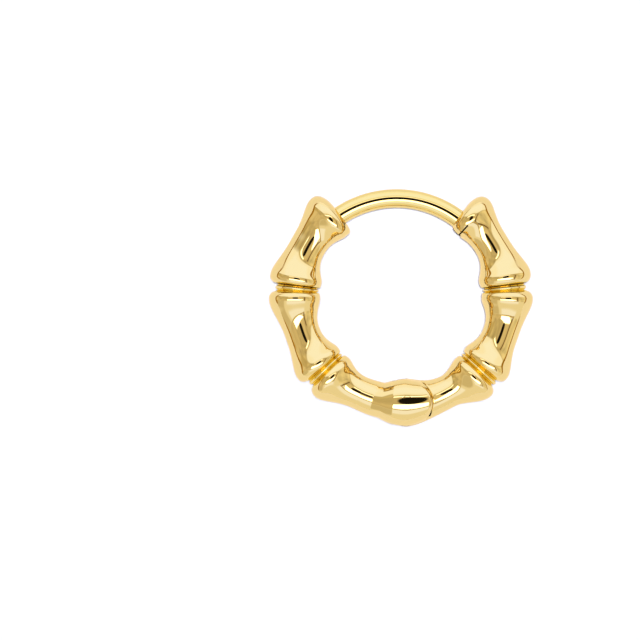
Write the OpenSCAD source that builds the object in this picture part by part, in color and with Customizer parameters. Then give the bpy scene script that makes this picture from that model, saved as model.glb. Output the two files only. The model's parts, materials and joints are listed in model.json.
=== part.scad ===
/* [Hoop] */
// Width of the closed hoop over its two sides
outside_w = 13.5; // [13:0.1:15]
// Diameter of the tube at its flared lips
flare_d = 2.64; // [2.56:0.02:2.7]
// Diameter of the tube at its waists
waist_d = 1.82; // [1.7:0.02:2]
// Diameter of the thin ring in each groove
ring_d = 2.24; // [2.2:0.02:2.3]
// Width of that ring
ring_w = 0.1; // [0.08:0.01:0.12]
// Diameter of the groove floor beside the ring
floor_d = 2.1; // [2:0.02:2.16]
// Width of the groove at the feet of its two lips
groove_w = 0.36; // [0.32:0.01:0.4]
// Flat front of each rounded end, as a radius
end_flat_r = 0.6; // [0.5:0.01:0.65]

/* [Hinge] */
// Distance from the middle of the hoop to the hinge pin
pin_reach = 5.35; // [5.3:0.01:5.4]
// Angle of the hinge pin round the hoop, in degrees
pin_angle = 273.2; // [272:0.1:274]
// Diameter of the hinge pin
pin_d = 0.7; // [0.6:0.02:0.8]
// Play of the tongue round the pin, as a radius
pin_play = 0.03; // [0.02:0.01:0.05]
// Tube diameter at the knuckle, in the plane of the hoop
knuckle_d = 2.5; // [2.46:0.01:2.54]
// Thickness of the knuckle over both ears
knuckle_h = 2.8; // [2.72:0.02:2.84]
// How far the crown of the knuckle drops to its edges
crown_drop = 0.06; // [0.04:0.01:0.1]
// Radius of the ears' round edge about the pin
ear_r = 1.28; // [1.27:0.01:1.3]
// Thickness of the tongue between the ears
tongue_t = 0.9; // [0.8:0.02:1]
// Radius of the tongue's round end about the pin
tongue_r = 1.22; // [1.2:0.01:1.23]
// Gap between moving faces
gap = 0.05; // [0.04:0.01:0.06]

/* [Ear post and catch] */
// Diameter of the ear post wire
post_d = 0.95; // [0.8:0.05:1]
// Bend radius of the ear post, to the middle of the wire
post_bend_r = 5.24; // [5.2:0.01:5.3]
// Angle at which the wire ends inside the catch, in degrees
post_tip_angle = 46; // [45:0.5:48]
// Gap round the wire in the catch slot
slot_gap = 0.05; // [0.04:0.01:0.05]

/* [Hidden] */
$fn = 64;

// Sides of the faceted tube
sides = 32;

// Kinds of section along the tube
WAIST = 0;
FLARE = 1;
RING = 2;
END = 3;
NECK = 4;
KNUCKLE = 5;
BASE_D = [waist_d, flare_d, ring_d, flare_d, waist_d, knuckle_d];

// Columns of the section table: kind, angle round the hoop, then how far the
// section's middle and its radius stray from the nominal ones, as cast and hand finished
KIND = 0;
ANGLE = 1;
SHIFT = 2;
TRIM = 3;
UPPER_LEFT = [
    [END,   132.6,  0.11,  0.00],
    [WAIST, 150.0,  0.02,  0.02],
    [FLARE, 170.5,  0.04,  0.02],
    [RING,  175.0, -0.09, -0.01],
    [FLARE, 179.3,  0.02,  0.00],
    [WAIST, 199.0, -0.08,  0.00],
    [FLARE, 218.9, -0.03, -0.01],
    [RING,  223.2, -0.14,  0.00],
    [FLARE, 227.9, -0.05,  0.00],
    [WAIST, 246.5, -0.15, -0.04],
];
BOTTOM = [
    [NECK,    259.0, -0.11,  0.01],
    [KNUCKLE, 272.6, -0.07,  0.00],
    [WAIST,   297.0, -0.10, -0.06],
];
UPPER_RIGHT = [
    [FLARE, 313.3,  0.04,  0.01],
    [RING,  317.6, -0.06,  0.03],
    [FLARE, 321.8,  0.04,  0.01],
    [WAIST, 340.5, -0.04,  0.01],
    [FLARE, 360.5, -0.01,  0.00],
    [RING,  365.2, -0.13, -0.01],
    [FLARE, 370.5, -0.03,  0.03],
    [WAIST, 391.5, -0.07, -0.01],
    [END,   408.3,  0.09, -0.10],
];
centreline_r = (outside_w - flare_d) / 2;

// The foot of each lip stands a little above the ring, and the floor is narrower than the groove
foot_step = 0.03;
foot_r = ring_d / 2 + foot_step;
floor_w = 0.6 * groove_w;

// A lip's crest rounds the top of the flute's rise, as a part of its height
lip_crest = 0.25;

// The bend of the ear post has its own middle, a little left of and below the hoop's
post_mid = [-0.24, -0.15];
post_root_angle = 128;
post_tip_d = 0.6 * post_d;
post_tip_h = 0.16;
post_tip_turn = post_tip_h / post_bend_r * 180 / PI;

// The catch slot stops just past the tip of the wire and has no inner wall
slot_end_turn = 0.8;
slot_turn = 18;
slot_floor_r = 3.9;

// The saw cut in the catch, to its depth from the inner side of the hoop
slit_angle = 47.5;
slit_w = 0.07;
slit_depth_r = 5;

// The cutters reach well past both faces of the tube and, at the hinge, this far from the pin
through_h = 6;
hinge_reach = 4;
bore_play = 0.01;
shoulder_relief = [0.06, -0.08, 0];

// The part stands on its knuckle, with the middle of its box over the origin
top_y = post_mid.y + post_bend_r + post_d / 2;
bottom_y = -(mid_r(BOTTOM[1]) + knuckle_d / 2);
hoop_mid = [0, -(top_y + bottom_y) / 2, knuckle_h / 2];

// Steps along a flute from waist to lip, and round a lip or an end, as parts of the way
FLUTE_STEPS = [0, 0.25, 0.45, 0.63, 0.78, 0.9, 0.97];
LIP_STEPS = [0, 0.35, 0.65, 0.88];
DOME_STEPS = [0.38, 0.64, 0.83, 0.95, 1];

// Each rounded end takes this angle and leans in towards the ear post
dome_angle = 6.3;
dome_shift = -0.3;
dome_lean = 2.5;

// Angles of the rings over the knuckle, the crease where its crown starts and the crown's middle
KNUCKLE_ANGLES = [
    259, 261, 263.2, 265.3, 267.7, 270.1, 272.6, 275.1,
    277.6, 280.1, 282.6, 285, 287.5, 290, 293.5,
];
crease_angle = 265.3;
crown_angle = 275.1;

// How sharply the knuckle falls away: outwards in the plane, and in height before and past the crown
bulge_fall = 1.3;
height_rise = 1.4;
height_fall = 1.2;

function mid_r(row) = centreline_r + row[SHIFT];
function tube_r(row) = BASE_D[row[KIND]] / 2 + row[TRIM];
function reversed(list) = [for (i = [len(list) - 1:-1:0]) list[i]];

// A section ring is its angle, the radius of its middle, its radius in the plane and its half height
function section(angle, mid, r, half_h) = [angle, mid, r, half_h];
function round_section(angle, mid, r) = section(angle, mid, r, r);
function mix(a, b, k) = a + (b - a) * k;
function between(a, b, t, k) =
    round_section(mix(a[ANGLE], b[ANGLE], t), mix(mid_r(a), mid_r(b), k), mix(tube_r(a), tube_r(b), k));

// The hollow flute from a waist out to a lip: slow at first, steep later, round at the crest
function flute_rise(t) = (1 + lip_crest) * pow(t, 2) - lip_crest * pow(t, 10);
function flute(waist, lip) = [for (t = FLUTE_STEPS) between(waist, lip, t, flute_rise(t))];
function level(a, b) = [for (t = [0, 0.5]) between(a, b, t, t)];

// The rounded lip, its foot, the groove floor and the edge of the ring
function lip_to_ring(lip, ring) =
    let (way = sign(lip[ANGLE] - ring[ANGLE]),
         degrees = way * 180 / PI / centreline_r,
         foot = ring[ANGLE] + degrees * groove_w / 2)
    concat(
        [for (u = LIP_STEPS)
            let (k = 1 - cos(90 * u))
            round_section(mix(lip[ANGLE], foot, sin(90 * u)),
                mix(mid_r(lip), mid_r(ring), k),
                mix(tube_r(lip), foot_r, k))],
        [round_section(foot, mid_r(ring), foot_r),
         round_section(ring[ANGLE] + degrees * floor_w / 2, mid_r(ring), floor_d / 2),
         round_section(ring[ANGLE] + degrees * ring_w / 2, mid_r(ring), tube_r(ring))]);

// In the plane the knuckle swells smoothly from the neck and falls more slowly to the waist
function knuckle_bulge(angle) =
    let (neck_angle = BOTTOM[0][ANGLE], crest_angle = BOTTOM[1][ANGLE], waist_angle = BOTTOM[2][ANGLE])
    angle < crest_angle
    ? sin(90 * (angle - neck_angle) / (crest_angle - neck_angle))
    : 1 - pow(sin(90 * (angle - crest_angle) / (waist_angle - crest_angle)), bulge_fall);

// Its height rises to a crease, runs over a shallow crown and then falls to the waist
function knuckle_half_h(angle) =
    let (neck_r = tube_r(BOTTOM[0]),
         waist_r = tube_r(BOTTOM[2]),
         edge_h = knuckle_h / 2 - crown_drop,
         crown_reach = crown_angle - crease_angle,
         crown_end = crown_angle + crown_reach)
    angle < crease_angle
    ? mix(neck_r, edge_h,
        pow((angle - BOTTOM[0][ANGLE]) / (crease_angle - BOTTOM[0][ANGLE]), height_rise))
    : angle < crown_end
    ? knuckle_h / 2 - crown_drop * pow((angle - crown_angle) / crown_reach, 2)
    : mix(edge_h, waist_r,
        pow(sin(90 * (angle - crown_end) / (BOTTOM[2][ANGLE] - crown_end)), height_fall));

function knuckle(neck, waist) =
    [for (angle = KNUCKLE_ANGLES)
        let (k = knuckle_bulge(angle), near = angle < BOTTOM[1][ANGLE] ? neck : waist)
        section(angle, mix(mid_r(near), mid_r(BOTTOM[1]), k), mix(tube_r(near), tube_r(BOTTOM[1]), k),
            knuckle_half_h(angle))];

// The rounded end beyond the last lip
function dome(end, way) =
    [for (u = DOME_STEPS) round_section(
        end[ANGLE] + way * dome_angle * u,
        mid_r(end) + dome_shift * pow(u, dome_lean),
        mix(end_flat_r, tube_r(end), sqrt(1 - pow(u, 2))))];

// The rings from one row of the table up to the next
function rest(list) = [for (i = [1:len(list) - 1]) list[i]];
function stretch(a, b) =
    a[KIND] == NECK ? knuckle(a, BOTTOM[2])
    : a[KIND] == KNUCKLE ? []
    : b[KIND] == NECK ? level(a, b)
    : a[KIND] == WAIST ? flute(a, b)
    : b[KIND] == RING ? lip_to_ring(a, b)
    : a[KIND] == RING ? reversed(rest(lip_to_ring(b, a)))
    : reversed(rest(concat(flute(b, a), [between(b, a, 1, 1)])));

function rings(rows) = [
    for (i = [0:len(rows) - 2]) each stretch(rows[i], rows[i + 1]),
    between(rows[len(rows) - 1], rows[len(rows) - 1], 0, 0),
];

// One closed tube through a list of section rings
module tube(list) {
    points = [
        for (s = list)
            for (i = [0:sides - 1])
                let (side = 360 * i / sides, reach = s[1] + s[2] * cos(side))
                [reach * cos(s[0]), reach * sin(s[0]), s[3] * sin(side)]
    ];
    last = len(list) - 1;
    faces = [
        [for (i = [sides - 1:-1:0]) i],
        for (j = [0:last - 1])
            for (i = [0:sides - 1])
                let (a = j * sides + i, b = j * sides + (i + 1) % sides)
                each [[a, b + sides, a + sides], [a, b, b + sides]],
        [for (i = [0:sides - 1]) last * sides + i],
    ];
    polyhedron(points, faces, convexity = 6);
}

// In this frame X points away from the hoop's middle and Y towards the catch half
module at_pin() {
    rotate([0, 0, pin_angle]) translate([pin_reach, 0, 0]) children();
}

module round_the_pin(r, h = through_h) {
    at_pin() cylinder(r = r, h = h, center = true);
}

module towards_catch(h = through_h) {
    at_pin() translate([-hinge_reach, 0, -h / 2]) cube([2 * hinge_reach, hinge_reach, h]);
}

module towards_post(h = through_h) {
    at_pin() translate([-hinge_reach, -hinge_reach, -h / 2]) cube([2 * hinge_reach, hinge_reach, h]);
}

// The wire runs along an arc and ends in a short tapered tip
module ear_post() {
    translate([post_mid.x, post_mid.y, 0]) {
        rotate([0, 0, post_tip_angle + post_tip_turn]) {
            rotate_extrude(angle = post_root_angle - post_tip_angle - post_tip_turn)
                translate([post_bend_r, 0]) circle(d = post_d, $fn = 32);
            translate([post_bend_r, 0, 0])
                rotate([90, 0, 0]) cylinder(d1 = post_d, d2 = post_tip_d, h = post_tip_h);
        }
    }
}

module post_half() {
    color([0.98, 0.86, 0.55]) translate(hoop_mid) difference() {
        union() {
            tube(concat(reversed(dome(UPPER_LEFT[0], -1)), rings(concat(UPPER_LEFT, BOTTOM))));
            ear_post();
        }
        difference() {
            towards_catch();
            round_the_pin(ear_r);
        }
        round_the_pin(ear_r + gap, tongue_t + 2 * gap);
        round_the_pin(pin_d / 2 + bore_play);
    }
}

// All that the catch half leaves free round the hinge: the ears' room, opened a little more where
// the shoulder swings out, less the tongue
module hinge_room() {
    difference() {
        union() {
            towards_post();
            round_the_pin(ear_r + gap);
            translate(shoulder_relief) round_the_pin(ear_r + gap);
        }
        round_the_pin(tongue_r, tongue_t);
        towards_catch(tongue_t);
    }
}

// The slot that takes the tip of the wire, open towards the ear, and the saw cut beside it
module catch_slot() {
    slot_r = post_bend_r + post_d / 2 + slot_gap;
    slot_w = post_d + 2 * slot_gap;
    translate([post_mid.x, post_mid.y, 0]) rotate([0, 0, post_tip_angle - slot_end_turn])
        rotate_extrude(angle = slot_turn) translate([slot_floor_r, -slot_w / 2])
            square([slot_r - slot_floor_r, slot_w]);
    rotate([0, 0, slit_angle]) translate([slot_floor_r, -slit_w / 2, -through_h / 2])
        cube([slit_depth_r - slot_floor_r, slit_w, through_h]);
}

module catch_half() {
    color([0.98, 0.86, 0.55]) translate(hoop_mid) difference() {
        tube(concat(rings(concat(BOTTOM, UPPER_RIGHT)), dome(UPPER_RIGHT[len(UPPER_RIGHT) - 1], 1)));
        hinge_room();
        round_the_pin(pin_d / 2 + pin_play);
        catch_slot();
    }
}

// The pin is filed flush with the ears, so its ends follow the knuckle
module hinge_pin() {
    color([0.95, 0.8, 0.5]) translate(hoop_mid) intersection() {
        tube(rings(BOTTOM));
        round_the_pin(pin_d / 2);
    }
}

post_half();
catch_half();
hinge_pin();
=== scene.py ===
"""A hinged bamboo huggie hoop in polished yellow gold, lying on its side on a pale studio floor."""

import json
import logging
import math
from dataclasses import dataclass, replace
from enum import Enum
from typing import Callable, Iterable, Sequence

import bpy
import numpy as np
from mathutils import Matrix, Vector


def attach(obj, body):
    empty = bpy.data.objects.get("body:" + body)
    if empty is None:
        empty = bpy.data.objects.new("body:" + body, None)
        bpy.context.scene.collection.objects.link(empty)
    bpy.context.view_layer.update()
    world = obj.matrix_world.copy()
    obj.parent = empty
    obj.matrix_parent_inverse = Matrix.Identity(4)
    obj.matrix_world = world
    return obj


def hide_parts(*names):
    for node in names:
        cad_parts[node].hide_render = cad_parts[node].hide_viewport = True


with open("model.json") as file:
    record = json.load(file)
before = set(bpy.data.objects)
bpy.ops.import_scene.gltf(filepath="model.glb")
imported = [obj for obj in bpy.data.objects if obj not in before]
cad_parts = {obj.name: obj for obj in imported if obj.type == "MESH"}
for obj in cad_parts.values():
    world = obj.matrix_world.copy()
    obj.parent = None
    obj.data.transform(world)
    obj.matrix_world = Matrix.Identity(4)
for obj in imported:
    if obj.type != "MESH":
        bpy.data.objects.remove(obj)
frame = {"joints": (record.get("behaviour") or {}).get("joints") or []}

log = logging.getLogger("huggie")

MM = 0.001
QUARTER = math.pi / 2

Colour = tuple[float, float, float]
Pair = tuple[float, float]
Socket = bpy.types.NodeSocket


class Kind(Enum):
    """What the tube does at a station of the hoop."""

    WAIST = "waist"
    FLARE = "flare"
    RING = "ring"
    END = "end"
    NECK = "neck"
    KNUCKLE = "knuckle"


@dataclass(frozen=True)
class Station:
    """One place along the tube, in millimetres and degrees.

    Shift and trim say how far its middle and its radius stray from nominal. The swell is the power at which
    the flute beside a lip rises to it. The last field is the share of a dark line painted at the lip's foot
    as the shade in the crease where the lip meets its groove.
    """

    kind: Kind
    angle: float
    shift: float = 0.0
    trim: float = 0.0
    swell: float = 2.5
    crease_shade: float = 0.0


@dataclass(frozen=True)
class Section:
    """One cross-section of a swept tube: its angle round the arc and its sizes in millimetres.

    A squareness below 1 makes its top and sides flatter than an ellipse's. The top shift moves its highest
    point outwards. The last field is the share of painted shade: up to 1 it paints the deeper gold of light
    bouncing in a groove, and from 1 to 2 a dark shade painted into the corner at a lip's foot.
    The wire has a little of it along its whole length, for its deeper yellow.
    """

    angle: float
    mid: float
    radius: float
    half_h: float
    squareness: float = 1.0
    top_shift: float = 0.0
    groove: float = 0.0


@dataclass(frozen=True)
class Rise:
    """How a flute swells from its waist to its lip: slow at first, then round and level at the crest."""

    crest: float
    extra_power: float = 0.0

    def at(self, t: float, power: float) -> float:
        """The share of the rise that is reached.

        Args:
            t: The part of the way, from 0 to 1.
            power: How slowly it starts.

        Returns:
            The share, from 0 to 1.
        """
        slow = power + self.extra_power
        late = slow * (1 + self.crest) / self.crest
        return (1 + self.crest) * t**slow - self.crest * t**late


@dataclass(frozen=True)
class Fade:
    """Where a colour starts to come in and over what length, as parts of the way."""

    start: float
    length: float

    def at(self, t: float) -> float:
        """The share that has come in at part t of the way."""
        return ease((t - self.start) / self.length)


@dataclass(frozen=True)
class TubeSizes:
    """Nominal sizes of the bamboo tube, in millimetres and degrees."""

    outside_w: float = 13.5
    flare_d: float = 2.64
    waist_d: float = 1.82
    ring_d: float = 2.24
    ring_bead: float = 0.19
    lip_power: float = 1.75
    lip_crest: float = 1.2
    lip_start: float = 0.48
    lip_squareness: float = 0.9
    end_top_shift: float = -0.16
    floor_d: float = 2.0
    floor_w: float = 0.216
    groove_w: float = 0.36
    foot_step: float = 0.03
    # Painted shade along a lip: where the deeper gold painted for a groove's bounced light comes in, where
    # the dark crease shade painted at its foot comes in, and how that fades out across the groove floor.
    groove_fade: Fade = Fade(start=0.8, length=0.2)
    crease_shade_fade: Fade = Fade(start=0.85, length=0.1)
    crease_shade_end: Fade = Fade(start=0.5, length=0.3)
    width_rise: Rise = Rise(crest=0.6)
    height_rise: Rise = Rise(crest=0.9, extra_power=1.4)
    end_flat_r: float = 0.6
    dome_angle: float = 6.3
    dome_shift: float = -0.3
    dome_lean: float = 2.5
    dome_round: float = 3.0

    @property
    def centreline_r(self) -> float:
        """Nominal radius of the tube's middle line."""
        return (self.outside_w - self.flare_d) / 2

    @property
    def foot_r(self) -> float:
        """Radius of the foot of a lip."""
        return self.ring_d / 2 + self.foot_step


@dataclass(frozen=True)
class KnuckleSizes:
    """Sizes of the knuckle and its hinge, in millimetres and degrees."""

    pin_reach: float = 5.35
    pin_angle: float = 273.2
    pin_d: float = 0.7
    bore_play: float = 0.004
    tongue_play: float = 0.03
    knuckle_d: float = 2.5
    knuckle_h: float = 2.8
    crown_drop: float = 0.029
    crown_squareness: float = 0.81
    crown_top_shift: float = 0.06
    rise_angle: float = 254.3
    crease_angle: float = 265.3
    crown_angle: float = 273.8
    bulge_fall: float = 1.3
    height_rise: float = 1.05
    shoulder_h: float = 0.96
    shoulder_angle: float = 286.0
    shoulder_fall: float = 2.2
    ear_r: float = 1.28
    tongue_t: float = 0.9
    tongue_r: float = 1.22
    gap: float = 0.05
    shoulder_gap: float = 0.02


def mix(a: float, b: float, k: float) -> float:
    """A value between a and b."""
    return a + (b - a) * k


def ease(t: float | np.ndarray) -> float | np.ndarray:
    """Goes smoothly from 0 to 1 as t does."""
    t = np.clip(t, 0, 1)
    return t * t * (3 - 2 * t)


def steps(count: int) -> np.ndarray:
    """Even steps from 0 to just short of 1."""
    return np.arange(count) / count


class BambooTube:
    """The rule of the bamboo tube: it turns rows of stations into closely spaced sections."""

    FLUTE_STEPS = 44
    LIP_STEPS = 14
    GROOVE_STEPS = 9
    DOME_STEPS = 22
    KNUCKLE_STEP = 0.4
    EAR_STEP = 0.14
    EAR_SPAN = (272.6, 289.0)

    def __init__(self, tube: TubeSizes, knuckle: KnuckleSizes, bottom: Sequence[Station]) -> None:
        """Keeps the sizes and the neck, knuckle and waist rows that the hinge is cut from.

        Args:
            tube: Sizes of the plain tube.
            knuckle: Sizes of the knuckle and the hinge.
            bottom: The neck, the knuckle and the waist past it, in order.
        """
        self.tube = tube
        self.knuckle = knuckle
        self.neck, self.crest, self.waist = bottom
        self.base_d = {
            Kind.WAIST: tube.waist_d,
            Kind.FLARE: tube.flare_d,
            Kind.RING: tube.ring_d,
            Kind.END: tube.flare_d,
            Kind.NECK: tube.waist_d,
            Kind.KNUCKLE: knuckle.knuckle_d,
        }

    def mid(self, row: Station) -> float:
        """Radius of the tube's middle line at a station."""
        return self.tube.centreline_r + row.shift

    def radius(self, row: Station) -> float:
        """Radius of the tube at a station."""
        return self.base_d[row.kind] / 2 + row.trim

    def round_section(self, angle: float, mid: float, radius: float) -> Section:
        """A section as high as it is wide."""
        return Section(angle, mid, radius, radius)

    def between(self, a: Station, b: Station, t: float, k: float) -> Section:
        """A round section part t of the way from a to b, with part k of the change in size.

        Args:
            a: The station at the start.
            b: The station at the end.
            t: The part of the angle, from 0 to 1.
            k: The part of the change in size, from 0 to 1.

        Returns:
            The section.
        """
        return self.round_section(
            mix(a.angle, b.angle, t),
            mix(self.mid(a), self.mid(b), k),
            mix(self.radius(a), self.radius(b), k),
        )

    def crest_angle(self, waist: Station, lip: Station) -> float:
        """Where a flute gets to its full height. A lip by a ring does so before its nominal angle.

        Args:
            waist: The waist that the flute starts from.
            lip: The lip that it rises to.

        Returns:
            The angle round the hoop, in degrees.
        """
        start = self.tube.lip_crest if lip.kind is Kind.FLARE else 0.0
        return lip.angle - math.copysign(start, lip.angle - waist.angle)

    def flute(self, waist: Station, lip: Station) -> list[Section]:
        """The hollow flute from a waist out to a lip: slow at first, round at the crest.

        Args:
            waist: The waist that it starts from.
            lip: The lip that it rises to.

        Returns:
            The sections from the waist to just short of the crest.
        """
        made = []
        for t in steps(self.FLUTE_STEPS):
            k, up = self.tube.width_rise.at(t, lip.swell), self.tube.height_rise.at(t, lip.swell)
            made.append(
                Section(
                    mix(waist.angle, self.crest_angle(waist, lip), t),
                    mix(self.mid(waist), self.mid(lip), k),
                    mix(self.radius(waist), self.radius(lip), k),
                    mix(self.radius(waist), self.radius(lip), up),
                    mix(1.0, self.tube.lip_squareness, up),
                    self.tube.end_top_shift * up if lip.kind is Kind.END else 0.0,
                )
            )
        return made

    def flute_end(self, waist: Station, lip: Station) -> Section:
        """The crest of a flute.

        Args:
            waist: The waist that the flute starts from.
            lip: The lip that it ends at.

        Returns:
            The section at full height.
        """
        tube = self.tube
        part = self.round_section(self.crest_angle(waist, lip), self.mid(lip), self.radius(lip))
        lean = tube.end_top_shift if lip.kind is Kind.END else 0.0
        return replace(part, squareness=tube.lip_squareness, top_shift=lean)

    def lip_to_ring(self, lip: Station, ring: Station) -> list[Section]:
        """The rounded lip, its foot, the groove floor and half of the ring's round bead.

        Args:
            lip: The flared station.
            ring: The ring in the groove beside it.

        Returns:
            The sections from the lip's crest to just short of the ring's top.
        """
        tube = self.tube
        way = math.copysign(math.degrees(1 / tube.centreline_r), lip.angle - ring.angle)
        foot = ring.angle + way * tube.groove_w / 2
        crest = lip.angle + math.copysign(tube.lip_start, way)
        made = []
        for u in steps(self.LIP_STEPS):
            along = math.sin(QUARTER * u)
            k = 1 - (1 - along**tube.lip_power) ** (1 / tube.lip_power)
            part = self.round_section(
                mix(crest, foot, along),
                mix(self.mid(lip), self.mid(ring), k),
                mix(self.radius(lip), tube.foot_r, k),
            )
            # Painted shade: the deeper gold of the groove comes in near the lip's foot, and on some lips a
            # dark crease shade too.
            groove = tube.groove_fade.at(along) + lip.crease_shade * tube.crease_shade_fade.at(along)
            made.append(replace(part, squareness=mix(tube.lip_squareness, 1.0, k), groove=groove))
        for u in steps(self.GROOVE_STEPS):
            reach = mix(tube.groove_w, tube.floor_w, u) / 2
            radius = mix(tube.foot_r, tube.floor_d / 2, ease(u))
            part = self.round_section(ring.angle + way * reach, self.mid(ring), radius)
            # The groove floor is painted in the deeper gold, with the dark crease shade fading out across it.
            made.append(replace(part, groove=1 + lip.crease_shade * (1 - tube.crease_shade_end.at(u))))
        bead = tube.ring_bead / 2
        for u in steps(self.GROOVE_STEPS):
            rise = math.sin(QUARTER * u)
            part = self.round_section(
                ring.angle + way * bead * math.cos(QUARTER * u),
                self.mid(ring),
                mix(tube.floor_d / 2, self.radius(ring), rise),
            )
            # The painted deeper gold fades out to nothing at the bead's top.
            made.append(replace(part, groove=1 - rise**2))
        return made

    def bulge(self, angle: float) -> float:
        """How far the knuckle has swelled in the plane of the hoop, from 0 to 1.

        Args:
            angle: Angle round the hoop, in degrees.

        Returns:
            The share of the swelling.
        """
        neck, crest, waist = self.neck.angle, self.crest.angle, self.waist.angle
        if angle < crest:
            return math.sin(QUARTER * (angle - neck) / (crest - neck))
        return 1 - math.sin(QUARTER * (angle - crest) / (waist - crest)) ** self.knuckle.bulge_fall

    def crown_height(self, angle: float) -> float:
        """Half the height of the knuckle's shallow crown.

        Args:
            angle: Angle round the hoop, in degrees.

        Returns:
            The half height, in millimetres.
        """
        sizes = self.knuckle
        off = (angle - sizes.crown_angle) / (sizes.crown_angle - sizes.crease_angle)
        return sizes.knuckle_h / 2 - sizes.crown_drop * off**2

    def neck_section(self, part: Section, level: float) -> Section:
        """A section of the neck, which rises straight to the crease and squares up as it does.

        Args:
            part: The round section at that place.
            level: Half the height of the tube before the neck, in millimetres.

        Returns:
            The section with the neck's height and squareness.
        """
        sizes = self.knuckle
        rise = max(0.0, (part.angle - sizes.rise_angle) / (sizes.crease_angle - sizes.rise_angle))
        height = mix(level, self.crown_height(sizes.crease_angle), rise**sizes.height_rise)
        return replace(part, half_h=height, squareness=mix(1.0, sizes.crown_squareness, ease(rise)))

    def shoulder_height(self, angle: float) -> float:
        """Half the height of the catch half's shoulder, which is lower than the ears.

        Args:
            angle: Angle round the hoop, in degrees.

        Returns:
            The half height, in millimetres.
        """
        sizes = self.knuckle
        left = (self.waist.angle - angle) / (self.waist.angle - sizes.shoulder_angle)
        part = min(1.0, max(0.0, left)) ** sizes.shoulder_fall
        return mix(self.radius(self.waist), sizes.shoulder_h, part)

    def knuckle_angles(self) -> list[float]:
        """Angles over the knuckle, close together where the ears and the shoulder are cut.

        Returns:
            The angles in order, in degrees.
        """
        low, high = self.EAR_SPAN
        crease = self.knuckle.crease_angle
        spans = [
            (self.neck.angle, crease, self.KNUCKLE_STEP),
            (crease, low, self.KNUCKLE_STEP),
            (low, high, self.EAR_STEP),
            (high, self.waist.angle, self.KNUCKLE_STEP),
        ]
        made: list[float] = []
        for start, end, step in spans:
            count = round((end - start) / step)
            made += [mix(start, end, t) for t in steps(count)]
        return made

    def over_knuckle(self, low_shoulder: bool) -> list[Section]:
        """The sections from the neck over the knuckle to the waist past it.

        Args:
            low_shoulder: Whether the tube past the crown has the catch half's lower shoulder.

        Returns:
            The sections in order.
        """
        sizes = self.knuckle
        made = []
        for angle in self.knuckle_angles():
            k = self.bulge(angle)
            near = self.neck if angle < self.crest.angle else self.waist
            radius = mix(self.radius(near), self.radius(self.crest), k)
            part = self.round_section(angle, mix(self.mid(near), self.mid(self.crest), k), radius)
            if angle < sizes.crease_angle:
                part = self.neck_section(part, self.radius(self.neck))
            elif low_shoulder and angle > sizes.crown_angle:
                part = replace(part, half_h=self.shoulder_height(angle))
            else:
                part = replace(part, half_h=self.crown_height(angle), squareness=sizes.crown_squareness)
            made.append(replace(part, top_shift=-sizes.crown_top_shift * k))
        return made

    def dome(self, end: Station, way: int) -> list[Section]:
        """The rounded end beyond the last lip, closed to a point at the middle of its flat front.

        Args:
            end: The last lip.
            way: 1 where the angle grows towards the end, -1 where it falls.

        Returns:
            The sections from the lip outwards.
        """
        tube = self.tube
        made = []
        for u in steps(self.DOME_STEPS) + 1 / self.DOME_STEPS:
            turn = math.sin(QUARTER * u)
            part = self.round_section(
                end.angle + way * tube.dome_angle * turn,
                self.mid(end) + tube.dome_shift * turn**tube.dome_lean,
                mix(tube.end_flat_r, self.radius(end), math.sqrt(max(0.0, 1 - turn**tube.dome_round))),
            )
            left = 1 - ease(turn)
            square = mix(1.0, tube.lip_squareness, left)
            made.append(replace(part, squareness=square, top_shift=tube.end_top_shift * left))
        last = made[-1]
        return [*made, self.round_section(last.angle, last.mid, 0.0)]

    def to_neck(self, a: Station, b: Station) -> list[Section]:
        """The sections of the plain stretch before the knuckle.

        Args:
            a: The waist before the neck.
            b: The neck.

        Returns:
            The sections from a to just short of b.
        """
        made = []
        for t in steps(self.FLUTE_STEPS):
            part = self.between(a, b, t, t)
            made.append(self.neck_section(part, part.radius))
        return made

    def stretch(self, a: Station, b: Station, low_shoulder: bool) -> list[Section]:
        """The sections from one station up to the next.

        Args:
            a: The station at the start.
            b: The station at the end.
            low_shoulder: Whether a knuckle between them has the catch half's lower shoulder.

        Returns:
            The sections from a to just short of b, or to b where it closes the tube.
        """
        if a.kind is Kind.NECK:
            return self.over_knuckle(low_shoulder)
        if a.kind is Kind.KNUCKLE:
            return []
        if b.kind is Kind.NECK:
            return self.to_neck(a, b)
        if a.kind is Kind.WAIST:
            return [*self.flute(a, b), self.flute_end(a, b)]
        if b.kind is Kind.RING:
            return self.lip_to_ring(a, b)
        if a.kind is Kind.RING:
            return [self.between(a, a, 0, 0), *reversed(self.lip_to_ring(b, a))]
        return list(reversed([*self.flute(b, a)[1:], self.flute_end(b, a)]))

    def sections(self, rows: Sequence[Station], low_shoulder: bool = False) -> list[Section]:
        """All sections through a run of stations.

        Args:
            rows: The stations in order.
            low_shoulder: Whether the knuckle has the catch half's lower shoulder.

        Returns:
            The sections in order, ready to sweep.
        """
        made = [s for a, b in zip(rows, rows[1:]) for s in self.stretch(a, b, low_shoulder)]
        last = rows[-1]
        return made if last.kind is Kind.END else [*made, self.between(last, last, 0, 0)]


# Two lips, at 170.5° and 370.5°, have a dark crease shade painted at their foot.
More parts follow.
